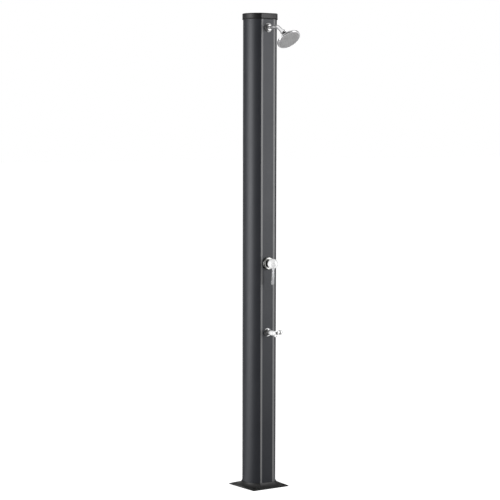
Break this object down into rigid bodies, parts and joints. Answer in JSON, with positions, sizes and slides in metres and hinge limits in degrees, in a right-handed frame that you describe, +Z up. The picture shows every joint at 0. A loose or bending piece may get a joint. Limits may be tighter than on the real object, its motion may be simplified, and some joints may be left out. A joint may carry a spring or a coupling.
{
  "type": "outdoor shower post",
  "caption": "Free-standing outdoor solar shower post: round-backed column with a flat front, rain head on a bent arm, lever mixer, lower tap and square floor base.",
  "frame": {"origin": "middle of the square base's underside, on the column's axis, at the floor", "axes": "+Z up along the column, -Y out of the flat front that carries the fittings, +X to the right seen from the rear"},
  "size_m": [0.197, 0.3593, 2.17],
  "materials": {
    "dark_aluminium": "dark satin powder coat over extruded aluminium",
    "satin_trim": "satin natural anodised",
    "dark_moulding": "fine satin moulding",
    "stainless_steel": "turned or stamped",
    "tank_plastic": "plain moulding",
    "black_rubber": "plain",
    "raw_brass": "plain turned",
    "cross_linked_pipe": "smooth extruded",
    "chrome": "bright",
    "seat_plastic": "low friction, natural",
    "face_plastic": "satin grey",
    "nozzle_rubber": "soft silicone rubber",
    "cartridge_plastic": "plain",
    "black_plastic": "satin"
  },
  "bodies": {
    "post": {"column_shell": "dark_aluminium", "front_cover": "dark_aluminium", "trim_strip_left": "satin_trim", "trim_strip_right": "satin_trim", "base_flange": "dark_moulding", "top_cap": "dark_moulding", "base_screws": "stainless_steel", "cap_screws": "stainless_steel", "arm_plate": "stainless_steel", "mixer_plate": "stainless_steel", "tap_plate": "stainless_steel", "tank_plug_top": "tank_plastic", "tank_plug_bottom": "tank_plastic", "upper_pipe_clips": "tank_plastic", "lower_pipe_clips": "tank_plastic", "tank_seals": "black_rubber", "inlet_gasket": "black_rubber", "drain_gasket": "black_rubber", "inlet_connector": "raw_brass", "inlet_nut": "raw_brass", "cold_elbow": "raw_brass", "drain_plug": "raw_brass", "hot_outlet": "raw_brass", "hot_nut": "raw_brass", "arm_elbow": "raw_brass", "mixer_body": "raw_brass", "tap_block": "raw_brass", "cross_pipe": "cross_linked_pipe", "cold_pipe_lower": "cross_linked_pipe", "cold_pipe_upper": "cross_linked_pipe", "mixed_pipe": "cross_linked_pipe", "hot_pipe": "cross_linked_pipe", "arm_rosette": "chrome", "shower_arm": "chrome", "arm_sleeve": "chrome", "cartridge_ring": "chrome", "mixer_rosette": "chrome", "tap_rosette": "chrome", "tap_barrel": "chrome", "mixer_cartridge": "cartridge_plastic", "swivel_ball": "black_plastic", "tap_bonnet": "black_plastic", "tap_nozzle": "black_plastic"},
    "mixer_rotor": {"mixer_rotor": "raw_brass", "mixer_pin": "stainless_steel"},
    "mixer_handle": {"mixer_ball": "chrome", "mixer_lever": "chrome"},
    "tap_handle": {"tap_knob": "chrome", "tap_spindle": "stainless_steel"},
    "head_seat": {"ball_seat": "seat_plastic"},
    "head": {"collar_nut": "black_plastic", "head_housing": "chrome", "head_seal": "black_rubber", "head_face": "face_plastic", "head_nozzles": "nozzle_rubber"}
  },
  "joints": [
    {"name": "mixer_temperature", "type": "hinge", "parent": "post", "child": "mixer_rotor", "pos_m": [0, -0.106, 1.036], "axis": [0, 1, 0], "range_deg": [-45, 45]},
    {"name": "mixer_flow", "type": "hinge", "parent": "mixer_rotor", "child": "mixer_handle", "pos_m": [0, -0.106, 1.036], "axis": [-1, 0, 0], "range_deg": [0, 25]},
    {"name": "tap_turn", "type": "hinge", "parent": "post", "child": "tap_handle", "pos_m": [0, -0.126, 0.7195], "axis": [0, -0.9744, 0.225], "range_deg": [0, 90]},
    {"name": "head_swing", "type": "hinge", "parent": "post", "child": "head_seat", "pos_m": [0, -0.20049, 2.06567], "axis": [0, -0.8508, -0.5255], "continuous": true},
    {"name": "head_tilt", "type": "hinge", "parent": "head_seat", "child": "head", "pos_m": [0, -0.20049, 2.06567], "axis": [0.9945, 0.1045, 0], "range_deg": [-44, 9]}
  ]
}
